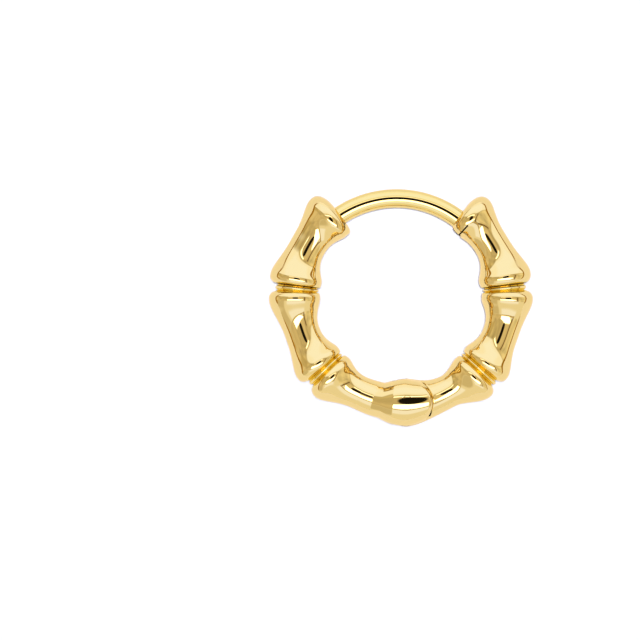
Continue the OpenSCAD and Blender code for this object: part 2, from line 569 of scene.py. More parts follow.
UPPER_LEFT = (
    Station(Kind.END, 132.6, 0.11, 0.00),
    Station(Kind.WAIST, 150.0, 0.02, 0.02),
    Station(Kind.FLARE, 170.5, 0.04, 0.02, crease_shade=1.0),
    Station(Kind.RING, 175.0, -0.09, -0.01),
    Station(Kind.FLARE, 179.3, 0.02, 0.00, 2.1),
    Station(Kind.WAIST, 199.0, -0.08, 0.00),
    Station(Kind.FLARE, 218.9, -0.03, -0.01),
    Station(Kind.RING, 223.2, -0.14, 0.00),
    Station(Kind.FLARE, 227.9, -0.05, 0.00, 2.3),
    Station(Kind.WAIST, 246.5, -0.15, -0.04),
)
BOTTOM = (
    Station(Kind.NECK, 259.0, -0.11, 0.01),
    Station(Kind.KNUCKLE, 272.6, -0.09, -0.01),
    Station(Kind.WAIST, 297.0, -0.10, -0.06),
)
UPPER_RIGHT = (
    Station(Kind.FLARE, 313.3, 0.04, 0.01, 1.7),
    Station(Kind.RING, 317.6, -0.06, 0.03),
    Station(Kind.FLARE, 321.8, 0.04, 0.01),
    Station(Kind.WAIST, 340.5, -0.04, 0.01),
    Station(Kind.FLARE, 360.5, -0.01, 0.00),
    Station(Kind.RING, 365.2, -0.13, -0.01),
    Station(Kind.FLARE, 370.5, -0.03, 0.03, crease_shade=1.0),
    Station(Kind.WAIST, 391.5, -0.07, -0.01),
    Station(Kind.END, 408.3, 0.09, -0.10),
)


class NodeSheet:
    """A small helper that lays out nodes in a tree and links them."""

    # A colour mix node's own numbers for its factor, its two colours and its result.
    MIX_INPUTS = (0, 6, 7)
    MIX_RESULT = 2

    def __init__(self, tree: bpy.types.NodeTree) -> None:
        """Keeps the tree that the nodes go into."""
        self.tree = tree

    def add(self, kind: str, **settings: object) -> bpy.types.Node:
        """Adds a node and sets its properties.

        Args:
            kind: The node's type.
            settings: Its properties by name.

        Returns:
            The new node.
        """
        node = self.tree.nodes.new(kind)
        for name, value in settings.items():
            setattr(node, name, value)
        return node

    def feed(self, socket: Socket, value: object) -> None:
        """Links a socket to another, or sets its value.

        Args:
            socket: The input.
            value: An output to link to it, or the value it gets.
        """
        if isinstance(value, Socket):
            self.tree.links.new(value, socket)
        else:
            socket.default_value = value

    def math(self, operation: str, a: object, b: object = 0.0, c: object = 0.0) -> Socket:
        """A maths node, from numbers or sockets.

        Args:
            operation: The sum that the node does.
            a: The first number.
            b: The second number, where there is one.
            c: The third number, where there is one.

        Returns:
            The result.
        """
        node = self.add("ShaderNodeMath", operation=operation)
        for socket, value in zip(node.inputs, (a, b, c)):
            self.feed(socket, value)
        return node.outputs[0]

    def mixed(self, share: object, under: object, over: object) -> Socket:
        """A colour between two others.

        Args:
            share: 0 for the first colour, 1 for the second.
            under: The first colour.
            over: The second colour.

        Returns:
            The mixed colour.
        """
        node = self.add("ShaderNodeMix", data_type="RGBA")
        for number, value in zip(self.MIX_INPUTS, (share, under, over)):
            self.feed(node.inputs[number], value)
        return node.outputs[self.MIX_RESULT]

    def noise(self, place: Socket, scale: float, detail: float) -> Socket:
        """A soft noise that changes with the place.

        Args:
            place: The coordinates that it is read at.
            scale: How fine it is.
            detail: How many finer layers it has.

        Returns:
            A level from 0 to 1.
        """
        node = self.add("ShaderNodeTexNoise")
        self.feed(node.inputs["Vector"], place)
        self.feed(node.inputs["Scale"], scale)
        self.feed(node.inputs["Detail"], detail)
        return node.outputs["Fac"]


@dataclass(frozen=True)
class SweptTubeTree:
    """Geometry Nodes that sweep a ring of points along a spine whose points carry the section sizes."""

    WELD = 5e-8
    ATTRIBUTES = ("turn", "mid", "radius", "half_h", "squareness", "top_shift", "groove")
    INPUTS = {
        "Geometry": "NodeSocketGeometry",
        "Sides": "NodeSocketInt",
        "Middle": "NodeSocketVector",
        "Finish": "NodeSocketMaterial",
    }

    def build(self) -> bpy.types.NodeTree:
        """Builds the tree.

        Returns:
            A tree with the inputs Geometry, Sides, Middle and Finish.
        """
        tree = bpy.data.node_groups.new("swept_tube", "GeometryNodeTree")
        for name, kind in self.INPUTS.items():
            tree.interface.new_socket(name, in_out="INPUT", socket_type=kind)
        tree.interface.new_socket("Geometry", in_out="OUTPUT", socket_type="NodeSocketGeometry")
        sheet = NodeSheet(tree)
        given = sheet.add("NodeGroupInput").outputs
        count = sheet.add("GeometryNodeAttributeDomainSize", component="MESH")
        sheet.feed(count.inputs["Geometry"], given["Geometry"])
        rings = count.outputs["Point Count"]
        grid = sheet.add("GeometryNodeMeshGrid")
        sheet.feed(grid.inputs["Size X"], 1.0)
        sheet.feed(grid.inputs["Size Y"], 1.0)
        sheet.feed(grid.inputs["Vertices X"], rings)
        sheet.feed(grid.inputs["Vertices Y"], sheet.math("ADD", given["Sides"], 1.0))
        place = sheet.add("ShaderNodeSeparateXYZ")
        sheet.feed(place.inputs[0], sheet.add("GeometryNodeInputPosition").outputs[0])
        gaps = sheet.math("SUBTRACT", rings, 1.0)
        ring = sheet.math("ROUND", sheet.math("MULTIPLY", sheet.math("ADD", place.outputs["X"], 0.5), gaps))
        side = sheet.math("MULTIPLY", sheet.math("ADD", place.outputs["Y"], 0.5), 2 * math.pi)
        turn, mid, radius, half_h, squareness, top_shift, groove = (
            self.sampled(sheet, given["Geometry"], name, ring) for name in self.ATTRIBUTES
        )
        # Hands the share of painted groove and crease shade, and the wire's tone, on to the material.
        marked = sheet.add("GeometryNodeStoreNamedAttribute", data_type="FLOAT", domain="POINT")
        sheet.feed(marked.inputs["Geometry"], grid.outputs["Mesh"])
        sheet.feed(marked.inputs["Name"], "groove")
        sheet.feed(marked.inputs["Value"], groove)
        across = self.squared(sheet, sheet.math("COSINE", side), squareness)
        upward = self.squared(sheet, sheet.math("SINE", side), squareness)
        lean = sheet.math("MULTIPLY", top_shift, sheet.math("MULTIPLY", upward, upward))
        reach = sheet.math("ADD", sheet.math("MULTIPLY_ADD", radius, across, mid), lean)
        point = sheet.add("ShaderNodeCombineXYZ")
        sheet.feed(point.inputs["X"], sheet.math("MULTIPLY", reach, sheet.math("COSINE", turn)))
        sheet.feed(point.inputs["Y"], sheet.math("MULTIPLY", reach, sheet.math("SINE", turn)))
        sheet.feed(point.inputs["Z"], sheet.math("MULTIPLY", half_h, upward))
        moved = sheet.add("GeometryNodeSetPosition")
        sheet.feed(moved.inputs["Geometry"], marked.outputs["Geometry"])
        sheet.feed(moved.inputs["Position"], point.outputs[0])
        sheet.feed(moved.inputs["Offset"], given["Middle"])
        welded = sheet.add("GeometryNodeMergeByDistance")
        sheet.feed(welded.inputs["Geometry"], moved.outputs[0])
        sheet.feed(welded.inputs["Distance"], self.WELD)
        smooth = sheet.add("GeometryNodeSetShadeSmooth")
        sheet.feed(smooth.inputs["Geometry"], welded.outputs[0])
        real = sheet.add("GeometryNodeRealizeInstances")
        sheet.feed(real.inputs["Geometry"], smooth.outputs[0])
        finish = sheet.add("GeometryNodeSetMaterial")
        sheet.feed(finish.inputs["Geometry"], real.outputs[0])
        sheet.feed(finish.inputs["Material"], given["Finish"])
        sheet.feed(sheet.add("NodeGroupOutput").inputs[0], finish.outputs[0])
        return tree

    def squared(self, sheet: NodeSheet, wave: Socket, squareness: Socket) -> Socket:
        """A sine or cosine raised to a power, with its sign kept.

        Args:
            sheet: The nodes that it is added to.
            wave: The sine or cosine.
            squareness: The power.

        Returns:
            The squared wave.
        """
        size = sheet.math("POWER", sheet.math("ABSOLUTE", wave), squareness)
        return sheet.math("MULTIPLY", size, sheet.math("SIGN", wave))

    def sampled(self, sheet: NodeSheet, spine: Socket, name: str, ring: Socket) -> Socket:
        """The value of a named attribute at one ring of the spine.

        Args:
            sheet: The nodes that it is added to.
            spine: The points that carry the attribute.
            name: The attribute's name.
            ring: The point's number.

        Returns:
            The value at that point.
        """
        attribute = sheet.add("GeometryNodeInputNamedAttribute", data_type="FLOAT")
        attribute.inputs["Name"].default_value = name
        sample = sheet.add("GeometryNodeSampleIndex", data_type="FLOAT", domain="POINT")
        sheet.feed(sample.inputs["Geometry"], spine)
        sheet.feed(sample.inputs["Value"], attribute.outputs["Attribute"])
        sheet.feed(sample.inputs["Index"], ring)
        return sample.outputs["Value"]


def plain_mesh(piece: bpy.types.Object) -> None:
    """Turns an object and its modifiers into a plain mesh and removes the modifiers.

    Args:
        piece: The object.
    """
    made = bpy.data.meshes.new_from_object(piece.evaluated_get(bpy.context.evaluated_depsgraph_get()))
    piece.modifiers.clear()
    piece.data = made


def new_object(name: str, mesh: bpy.types.Mesh) -> bpy.types.Object:
    """Links a new object to the scene.

    Args:
        name: The object's name.
        mesh: Its mesh.

    Returns:
        The new object, at the origin.
    """
    made = bpy.data.objects.new(name, mesh)
    bpy.context.scene.collection.objects.link(made)
    return made


def solid(name: str, points: np.ndarray, faces: Iterable[Sequence[int]]) -> bpy.types.Object:
    """A closed mesh from points in millimetres.

    Args:
        name: The new object's name.
        points: Its corners, in millimetres.
        faces: The corners of each face, in order from outside.

    Returns:
        The new object, in metres.
    """
    mesh = bpy.data.meshes.new(name)
    mesh.from_pydata((np.asarray(points) * MM).tolist(), [], [list(f) for f in faces])
    mesh.update()
    return new_object(name, mesh)


class Cut(Enum):
    """How one solid changes another."""

    JOIN = "UNION"
    TAKE = "DIFFERENCE"
    KEEP = "INTERSECT"


def carve(piece: bpy.types.Object, cutter: bpy.types.Object, how: Cut = Cut.TAKE) -> bpy.types.Object:
    """Joins, cuts or trims a piece with another solid, which is then deleted.

    Args:
        piece: The piece that changes.
        cutter: The other solid.
        how: Whether the two are joined, or what is cut.

    Returns:
        The changed piece.
    """
    work = piece.modifiers.new(how.name.lower(), "BOOLEAN")
    work.operation = how.value
    work.solver = "MANIFOLD"
    work.object = cutter
    plain_mesh(piece)
    bpy.data.objects.remove(cutter)
    return piece


@dataclass(frozen=True)
class Sweeper:
    """Sweeps tubes round the hoop with one shared tree."""

    tree: bpy.types.NodeTree
    middle: Vector
    sides: int = 128

    def spine(self, name: str, sections: Sequence[Section]) -> bpy.types.Mesh:
        """The points along a tube, which carry the sizes of its sections.

        Args:
            name: The mesh's name.
            sections: The sections in order.

        Returns:
            A mesh of one point for each section, closed to a point at both ends.
        """
        first, last = sections[0], sections[-1]
        closed = list(sections)
        if first.radius != 0:
            closed.insert(0, Section(first.angle, first.mid, 0, 0))
        if last.radius != 0:
            closed.append(Section(last.angle, last.mid, 0, 0))
        mesh = bpy.data.meshes.new(name)
        mesh.vertices.add(len(closed))
        columns = {
            "turn": [math.radians(s.angle) for s in closed],
            "mid": [s.mid * MM for s in closed],
            "radius": [s.radius * MM for s in closed],
            "half_h": [s.half_h * MM for s in closed],
            "squareness": [s.squareness for s in closed],
            "top_shift": [s.top_shift * MM for s in closed],
            "groove": [s.groove for s in closed],
        }
        for label, values in columns.items():
            mesh.attributes.new(label, "FLOAT", "POINT").data.foreach_set("value", values)
        return mesh

    def tube(
        self,
        name: str,
        sections: Sequence[Section],
        finish: bpy.types.Material,
        offset: Pair = (0.0, 0.0),
    ) -> bpy.types.Object:
        """Sweeps one closed tube.

        Args:
            name: The new object's name.
            sections: The sections in order. Those at both ends are closed to a point.
            finish: The material.
            offset: Where the arc's middle lies from the hoop's, in millimetres.

        Returns:
            A closed mesh in metres, in the part's frame.
        """
        piece = new_object(name, self.spine(name, sections))
        sweep = piece.modifiers.new("sweep", "NODES")
        sweep.node_group = self.tree
        sockets = {s.name: s.identifier for s in self.tree.interface.items_tree if s.in_out == "INPUT"}
        sweep[sockets["Sides"]] = self.sides
        sweep[sockets["Middle"]] = self.middle + Vector((*offset, 0)) * MM
        sweep[sockets["Finish"]] = finish
        plain_mesh(piece)
        return piece


BOX_FACES = ((0, 3, 2, 1), (4, 5, 6, 7), (0, 1, 5, 4), (1, 2, 6, 5), (2, 3, 7, 6), (3, 0, 4, 7))


def box_points(x0: float, x1: float, y0: float, y1: float, height: float) -> np.ndarray:
    """The corners of a box that is centred in height.

    Args:
        x0: Least X.
        x1: Greatest X.
        y0: Least Y.
        y1: Greatest Y.
        height: Whole height.

    Returns:
        The four lower corners, then the four upper ones.
    """
    flat = [(x0, y0), (x1, y0), (x1, y1), (x0, y1)]
    return np.array([(x, y, z) for z in (-height / 2, height / 2) for x, y in flat])


def turned(points: np.ndarray, turn: float) -> np.ndarray:
    """Points turned about Z, by an angle in radians."""
    c, s = math.cos(turn), math.sin(turn)
    return np.asarray(points) @ np.array([[c, s, 0], [-s, c, 0], [0, 0, 1]])


@dataclass(frozen=True)
class PinFrame:
    """The hinge pin's own axes: X away from the hoop's middle, Y towards the catch half."""

    FACETS = 360

    middle: Vector
    sizes: KnuckleSizes

    @property
    def turn(self) -> float:
        """The pin's angle round the hoop, in radians."""
        return math.radians(self.sizes.pin_angle)

    @property
    def centre(self) -> np.ndarray:
        """The pin's middle, in millimetres."""
        out = np.array([math.cos(self.turn), math.sin(self.turn), 0])
        return np.array(self.middle) / MM + out * self.sizes.pin_reach

    def to_part(self, points: np.ndarray) -> np.ndarray:
        """Points given in the pin's axes, in the part's frame."""
        return turned(points, self.turn) + self.centre

    def from_part(self, points: np.ndarray) -> np.ndarray:
        """Points in the part's frame, given in the pin's axes."""
        return turned(np.asarray(points) - self.centre, -self.turn)

    def cylinder(self, radius: float, height: float, shift: Pair = (0.0, 0.0)) -> bpy.types.Object:
        """A round cutter about the pin.

        Args:
            radius: Its radius, in millimetres.
            height: Its whole height, in millimetres.
            shift: How far it stands off the pin in the part's frame, in millimetres.

        Returns:
            The cutter.
        """
        count = self.FACETS
        turn = np.arange(count) * 2 * math.pi / count
        ring = np.column_stack([radius * np.cos(turn), radius * np.sin(turn), np.zeros(count)])
        points = np.vstack([ring - [0, 0, height / 2], ring + [0, 0, height / 2]])
        sides = [(i, (i + 1) % count, (i + 1) % count + count, i + count) for i in range(count)]
        ends = [tuple(reversed(range(count))), tuple(range(count, 2 * count))]
        return solid("cutter", self.to_part(points) + [*shift, 0], [*sides, *ends])

    def block(self, side: int, height: float, reach: float = 4.0) -> bpy.types.Object:
        """A block on one side of the pin: 1 towards the catch half, -1 towards the post half.

        Args:
            side: 1 towards the catch half, -1 towards the post half.
            height: Its whole height, in millimetres.
            reach: How far it goes to the side and to the front and back, in millimetres.

        Returns:
            The cutter.
        """
        corners = box_points(-reach, reach, min(0, side) * reach, max(0, side) * reach, height)
        return solid("cutter", self.to_part(corners), BOX_FACES)


@dataclass(frozen=True)
class EdgeRound:
    """A hand-rounded edge: how far in from the edge it starts, how deep it goes and how suddenly."""

    # Past the edge the face goes on falling for half a width more.
    END = 1.5

    width: float
    depth: float
    power: float

    def drop(self, inside: np.ndarray) -> np.ndarray:
        """How far the face has fallen, given the distance inside the edge."""
        return self.depth * np.clip(1 - inside / self.width, 0, self.END) ** self.power


def lower_face(
    piece: bpy.types.Object, middle_z: float, drop: Callable[[np.ndarray], np.ndarray], least: float = 0.2
) -> None:
    """Moves a piece's points towards its middle plane by a drop that depends on the place.

    Args:
        piece: The piece, whose mesh changes.
        middle_z: Height of the middle plane, in millimetres.
        drop: Gives how far each of its points falls, in millimetres.
        least: The share of its height that a point keeps at least.
    """
    points = np.empty(len(piece.data.vertices) * 3, np.float32)
    piece.data.vertices.foreach_get("co", points)
    points = points.reshape(-1, 3).astype(float) / MM
    height = points[:, 2] - middle_z
    size = np.abs(height)
    points[:, 2] = middle_z + np.sign(height) * np.maximum(size - drop(points), least * size)
    piece.data.vertices.foreach_set("co", (points * MM).astype(np.float32).ravel())
    piece.data.update()


def arc_block(
    middle: np.ndarray, start: float, sweep: float, r0: float, r1: float, height: float, count: int = 24
) -> bpy.types.Object:
    """A block bent round an arc, such as the catch slot.

    Args:
        middle: The arc's middle, in millimetres.
        start: Angle at which it starts, in degrees.
        sweep: Angle that it covers, in degrees.
        r0: Inner radius, in millimetres.
        r1: Outer radius, in millimetres.
        height: Whole height, in millimetres.
        count: Number of straight steps round the arc.

    Returns:
        The cutter.
    """
    rows = []
    for turn in np.radians(start + sweep * np.arange(count + 1) / count):
        out = np.array([math.cos(turn), math.sin(turn), 0])
        rows += [middle + out * r + [0, 0, z] for z in (-height / 2, height / 2) for r in (r0, r1)]
    ring = (0, 2, 3, 1)
    size = len(ring)
    faces = [tuple(reversed(ring)), tuple(size * count + i for i in ring)]
    for first in range(0, size * count, size):
        for a, b in zip(ring, (*ring[1:], ring[0])):
            faces.append((first + a, first + b, first + size + b, first + size + a))
    return solid("cutter", np.array(rows), faces)


def dress(piece: bpy.types.Object, finish: bpy.types.Material, sharp_deg: float = 24.0) -> None:
    """Gives a finished piece its one material, smooth faces and crisp edges.

    Args:
        piece: The piece.
        finish: Its material.
        sharp_deg: Angle between two faces past which their edge stays crisp, in degrees.
    """
    piece.data.materials.clear()
    piece.data.materials.append(finish)
    piece.data.polygons.foreach_set("material_index", [0] * len(piece.data.polygons))
    piece.data.shade_smooth()
    piece.data.set_sharp_from_angle(angle=math.radians(sharp_deg))


@dataclass
class PostHalf:
    """The left half: three bamboo segments, the two ears of the hinge and the soldered ear wire."""

    rule: BambooTube
    sweeper: Sweeper
    pin: PinFrame
    rows: Sequence[Station] = (*UPPER_LEFT, *BOTTOM)
    wire_d: float = 0.95
    wire_bend_r: float = 5.24
    wire_mid: Pair = (-0.24, -0.15)
    wire_root_angle: float = 128.0
    wire_tip_angle: float = 46.0
    wire_tip_h: float = 0.16
    wire_tip_share: float = 0.6
    wire_squareness: float = 0.88
    wire_tone: float = 0.2
    wire_steps: int = 160
    ear_edge: EdgeRound = EdgeRound(width=0.18, depth=0.12, power=1.5)
    ear_fade: float = 0.35

    def wire_sections(self) -> list[Section]:
        """The wire, which runs along its arc and ends in a short tapered tip.

        Returns:
            The sections from the tip to the root.
        """
        start = self.wire_tip_angle + math.degrees(self.wire_tip_h / self.wire_bend_r)
        radius = self.wire_d / 2
        tip_r = radius * self.wire_tip_share
        made = [Section(self.wire_tip_angle, self.wire_bend_r, tip_r, tip_r, groove=self.wire_tone)]
        wire = Section(start, self.wire_bend_r, radius, radius, self.wire_squareness, groove=self.wire_tone)
        for t in np.linspace(0, 1, self.wire_steps):
            made.append(replace(wire, angle=mix(start, self.wire_root_angle, t)))
        return made

    def ear_drop(self, points: np.ndarray) -> np.ndarray:
        """How far the ears' faces have been rounded down towards their edge.

        Args:
            points: Places in the part's frame, in millimetres.

        Returns:
            The fall at each of them, in millimetres.
        """
        at = self.pin.from_part(points)
        inside = self.rule.knuckle.ear_r - np.hypot(at[:, 0], at[:, 1])
        return self.ear_edge.drop(inside) * ease(at[:, 1] / self.ear_fade)

    def build(self, finish: bpy.types.Material) -> bpy.types.Object:
        """Sweeps the half, solders the wire in and cuts the hinge.

        Args:
            finish: The material it is made of.

        Returns:
            The finished piece, attached to its side's body.
        """
        sizes = self.rule.knuckle
        deep = 2 * sizes.knuckle_h
        sections = [*reversed(self.rule.dome(self.rows[0], -1)), *self.rule.sections(self.rows)]
        piece = self.sweeper.tube("bamboo_post_half", sections, finish)
        lower_face(piece, self.sweeper.middle.z / MM, self.ear_drop)
        carve(piece, self.sweeper.tube("wire", self.wire_sections(), finish, self.wire_mid), Cut.JOIN)
        beyond = carve(self.pin.block(1, deep), self.pin.cylinder(sizes.ear_r, 2 * deep))
        carve(piece, beyond)
        carve(piece, self.pin.cylinder(sizes.ear_r + sizes.gap, sizes.tongue_t + 2 * sizes.gap))
        carve(piece, self.pin.cylinder(sizes.pin_d / 2 + sizes.bore_play, deep))
        dress(piece, finish)
        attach(piece, "post_side")
        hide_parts("post_half")
        return piece


@dataclass
class CatchHalf:
    """The right half: the tongue of the hinge, three bamboo segments and the slotted catch."""

    rule: BambooTube
    sweeper: Sweeper
    pin: PinFrame
    post: PostHalf
    rows: Sequence[Station] = (*BOTTOM, *UPPER_RIGHT)
    slot_gap: float = 0.05
    slot_end_turn: float = 0.8
    slot_turn: float = 18.0
    slot_floor_r: float = 3.9
    slit_angle: float = 47.5
    slit_w: float = 0.08
    slit_steps: tuple[Pair, ...] = ((5.02, 0.56), (4.5, 0.3))
    nick_r: float = 0.5
    nick_w: float = 0.09
    nick_turn: float = -30.0
    nick_lift: float = 0.02
    shoulder_edge: EdgeRound = EdgeRound(width=0.08, depth=0.05, power=2.0)

    def shoulder_drop(self, points: np.ndarray) -> np.ndarray:
        """How far the shoulder has been rounded down towards the ears.

        Args:
            points: Places in the part's frame, in millimetres.

        Returns:
            The fall at each of them, in millimetres.
        """
        sizes = self.rule.knuckle
        at = self.pin.from_part(points)
        outside = np.hypot(at[:, 0], at[:, 1]) - sizes.ear_r - sizes.shoulder_gap
        return self.shoulder_edge.drop(outside) * ease(at[:, 1] / self.post.ear_fade)

    def hinge_room(self, deep: float) -> bpy.types.Object:
        """All that the catch half leaves free round the hinge, less the tongue.

        Args:
            deep: A height well above the knuckle's, in millimetres.

        Returns:
            The cutter.
        """
        sizes = self.rule.knuckle
        room = self.pin.block(-1, deep)
        carve(room, self.pin.cylinder(sizes.ear_r + sizes.shoulder_gap, deep), Cut.JOIN)
        tongue = self.pin.block(1, sizes.tongue_t)
        carve(tongue, self.pin.cylinder(sizes.tongue_r, sizes.tongue_t), Cut.JOIN)
        return carve(room, tongue)

    def nick(self, deep: float) -> bpy.types.Object:
        """The place where the parting line opens towards the outside, above and below the tongue.

        Args:
            deep: A height well above the knuckle's, in millimetres.

        Returns:
            The cutter.
        """
        sizes = self.rule.knuckle
        off = sizes.ear_r + self.nick_w - self.nick_r
        turn = math.radians(self.nick_turn)
        cutter = self.pin.cylinder(self.nick_r, deep, (off * math.cos(turn), off * math.sin(turn)))
        return carve(cutter, self.pin.cylinder(2 * sizes.ear_r, sizes.tongue_t + 2 * self.nick_lift))

    def wire_slot(self) -> bpy.types.Object:
        """The slot that takes the wire's tip, open towards the middle of the hoop.

        Returns:
            The cutter.
        """
        post = self.post
        middle = np.array(self.sweeper.middle) / MM + [*post.wire_mid, 0]
        start = post.wire_tip_angle - self.slot_end_turn
        outer_r = post.wire_bend_r + post.wire_d / 2 + self.slot_gap
        width = post.wire_d + 2 * self.slot_gap
        return arc_block(middle, start, self.slot_turn, self.slot_floor_r, outer_r, width)

    def slit(self, reach: float, low: float, deep: float) -> bpy.types.Object:
        """One step of the fine saw cut across the catch's upper face.

        Args:
            reach: How far from the hoop's middle it ends, in millimetres.
            low: How far above the hoop's own plane its floor lies, in millimetres.
            deep: A height well above the catch's, in millimetres.

        Returns:
            The cutter.
        """
        points = box_points(self.slot_floor_r, reach, -self.slit_w / 2, self.slit_w / 2, deep)
        middle = np.array(self.sweeper.middle) / MM
        points = turned(points, math.radians(self.slit_angle)) + middle + [0, 0, deep / 2 + low]
        return solid("cutter", points, BOX_FACES)

    def build(self, finish: bpy.types.Material) -> bpy.types.Object:
        """Sweeps the half, cuts the hinge and opens the catch for the wire.

        Args:
            finish: The material it is made of.

        Returns:
            The finished piece, attached to its side's body.
        """
        sizes = self.rule.knuckle
        deep = 2 * sizes.knuckle_h
        sections = [*self.rule.sections(self.rows, low_shoulder=True), *self.rule.dome(self.rows[-1], 1)]
        piece = self.sweeper.tube("bamboo_catch_half", sections, finish)
        lower_face(piece, self.sweeper.middle.z / MM, self.shoulder_drop)
        carve(piece, self.hinge_room(deep))
        carve(piece, self.nick(deep))
        carve(piece, self.pin.cylinder(sizes.pin_d / 2 + sizes.tongue_play, deep))
        carve(piece, self.wire_slot())
        for reach, low in self.slit_steps:
            carve(piece, self.slit(reach, low, deep))
        dress(piece, finish)
        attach(piece, "catch_side")
        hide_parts("catch_half")
        return piece


@dataclass
class FlushPin:
    """The hinge pin, filed flush with the ears."""

    rule: BambooTube
    sweeper: Sweeper
    pin: PinFrame

    def build(self, finish: bpy.types.Material) -> bpy.types.Object:
        """Trims a round pin to the knuckle's faces.

        Args:
            finish: The material it is made of.

        Returns:
            The finished piece, attached to its side's body.
        """
        sizes = self.rule.knuckle
        piece = self.sweeper.tube("flush_pin", self.rule.sections(BOTTOM), finish)
        carve(piece, self.pin.cylinder(sizes.pin_d / 2, 2 * sizes.knuckle_h), Cut.KEEP)
        dress(piece, finish)
        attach(piece, "post_side")
        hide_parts("hinge_pin")
        return piece


class Wear:
    """Shader group of a hand-polished surface: faint waviness in the metal and a little uneven gloss."""

    NAME = "hand_polish"
    WAVE_SCALE = 900.0
    HAZE_SCALE = 2600.0
    DETAIL = 1.0

    def group(self) -> bpy.types.NodeTree:
        """Builds the group once.

        Returns:
            A shader group with the inputs Gloss, Haze and Waviness and the outputs Roughness and Normal.
        """
        if self.NAME in bpy.data.node_groups:
            return bpy.data.node_groups[self.NAME]
        tree = bpy.data.node_groups.new(self.NAME, "ShaderNodeTree")
        for name in ("Gloss", "Haze", "Waviness"):
            tree.interface.new_socket(name, in_out="INPUT", socket_type="NodeSocketFloat")
        tree.interface.new_socket("Roughness", in_out="OUTPUT", socket_type="NodeSocketFloat")
        tree.interface.new_socket("Normal", in_out="OUTPUT", socket_type="NodeSocketVector")
        sheet = NodeSheet(tree)
        given = sheet.add("NodeGroupInput").outputs
        place = sheet.add("ShaderNodeTexCoord").outputs["Object"]
        wave = sheet.noise(place, self.WAVE_SCALE, self.DETAIL)
        haze = sheet.noise(place, self.HAZE_SCALE, self.DETAIL)
        out = sheet.add("NodeGroupOutput").inputs
        sheet.feed(out["Roughness"], sheet.math("MULTIPLY_ADD", haze, given["Haze"], given["Gloss"]))
        bump = sheet.add("ShaderNodeBump")
        sheet.feed(bump.inputs["Strength"], 1.0)
        sheet.feed(bump.inputs["Distance"], given["Waviness"])
        sheet.feed(bump.inputs["Height"], wave)
        sheet.feed(out["Normal"], bump.outputs[0])
        return tree


@dataclass(frozen=True)
class GoldFinish:
    """A polished gold finish.

    A named attribute on the piece leads from its colour to a deeper gold painted for the light bounced in the
    grooves at 1, and to a dark shade painted into the corners at the lips' feet at 2.
    """

    name: str
    colour: Colour = (0.87, 0.635, 0.235)
    # Deeper gold painted into the grooves for the light bounced there; the wire takes a fifth of it as its
    # own deeper yellow.
    groove_colour: Colour = (0.86, 0.65, 0.08)
    # Dark shade painted into the corner where a lip meets its groove.
    crease_shade_colour: Colour = (0.1, 0.06, 0.02)
    edge_tint: Colour = (1.0, 0.9, 0.7)
    gloss: float = 0.02
    haze: float = 0.02
    waviness: float = 7.0e-7
    lacquer: float = 0.04

    def build(self) -> bpy.types.Material:
        """Builds the material.

        Returns:
            The material.
        """
        material = bpy.data.materials.new(self.name)
        material.use_nodes = True
        sheet = NodeSheet(material.node_tree)
        shader = material.node_tree.nodes["Principled BSDF"]
        mark = sheet.add("ShaderNodeAttribute", attribute_name="groove", attribute_type="GEOMETRY")
        deep = mark.outputs["Fac"]
        # Mixes in the painted deeper gold of the grooves, then the painted dark crease shade.
        tone = sheet.mixed(deep, (*self.colour, 1), (*self.groove_colour, 1))
        tone = sheet.mixed(sheet.math("SUBTRACT", deep, 1.0), tone, (*self.crease_shade_colour, 1))
        sheet.feed(shader.inputs["Base Color"], tone)
        sheet.feed(shader.inputs["Metallic"], 1.0)
        sheet.feed(shader.inputs["Specular Tint"], (*self.edge_tint, 1))
        sheet.feed(shader.inputs["Coat Weight"], self.lacquer)
        sheet.feed(shader.inputs["Coat Roughness"], self.gloss)
        polish = sheet.add("ShaderNodeGroup", node_tree=Wear().group())
        sheet.feed(polish.inputs["Gloss"], self.gloss)
        sheet.feed(polish.inputs["Haze"], self.haze)
        sheet.feed(polish.inputs["Waviness"], self.waviness)
        sheet.feed(shader.inputs["Roughness"], polish.outputs["Roughness"])
        sheet.feed(shader.inputs["Normal"], polish.outputs["Normal"])
        log.info("finish %s", self.name)
        return material


class SkySheet(NodeSheet):
    """The world's nodes: soft masks and colours by direction, in degrees from straight up."""

    def __init__(
        self, tree: bpy.types.NodeTree, edge_tree: bpy.types.NodeTree, chart_tree: bpy.types.NodeTree
    ) -> None:
        """Lays out the chart of the sky.

        Args:
            tree: The world's own nodes.
            edge_tree: The group that makes a soft edge.
            chart_tree: The group that turns a direction into degrees.
        """
        super().__init__(tree)
        self.edge_tree = edge_tree
        chart = self.add("ShaderNodeGroup", node_tree=chart_tree)
        self.direction = self.add("ShaderNodeTexCoord").outputs["Generated"]
        self.feed(chart.inputs["Direction"], self.direction)
        self.tip, self.u, self.v = chart.outputs

    def edge(self, value: Socket, blur: float) -> Socket:
        """A soft edge where the value passes zero.

        Args:
            value: The value, in degrees.
            blur: Width of the edge, in degrees.

        Returns:
            0 below the edge and 1 above it.
        """
        node = self.add("ShaderNodeGroup", node_tree=self.edge_tree)
        self.feed(node.inputs["Value"], value)
        self.feed(node.inputs["Blur"], blur)
        return node.outputs["Mask"]

    def within(self, values: Iterable[Socket], blur: float, mask: Socket | None = None) -> Socket:
        """A mask that is soft-edged wherever one of the values passes zero.

        Args:
            values: The values, in degrees, which are all above zero inside.
            blur: Width of the edges, in degrees.
            mask: A mask that it is multiplied by, where there is one.

        Returns:
            1 inside and 0 outside.
        """
        for value in values:
            soft = self.edge(value, blur)
            mask = soft if mask is None else self.math("MULTIPLY", mask, soft)
        return mask

    def scaled(self, colour: Colour, level: Socket) -> Socket:
        """A colour made brighter or darker.

        Args:
            colour: The colour.
            level: What it is multiplied by.

        Returns:
            The new colour.
        """
        node = self.add("ShaderNodeVectorMath", operation="SCALE")
        self.feed(node.inputs[0], colour)
        self.feed(node.inputs["Scale"], level)
        return node.outputs[0]


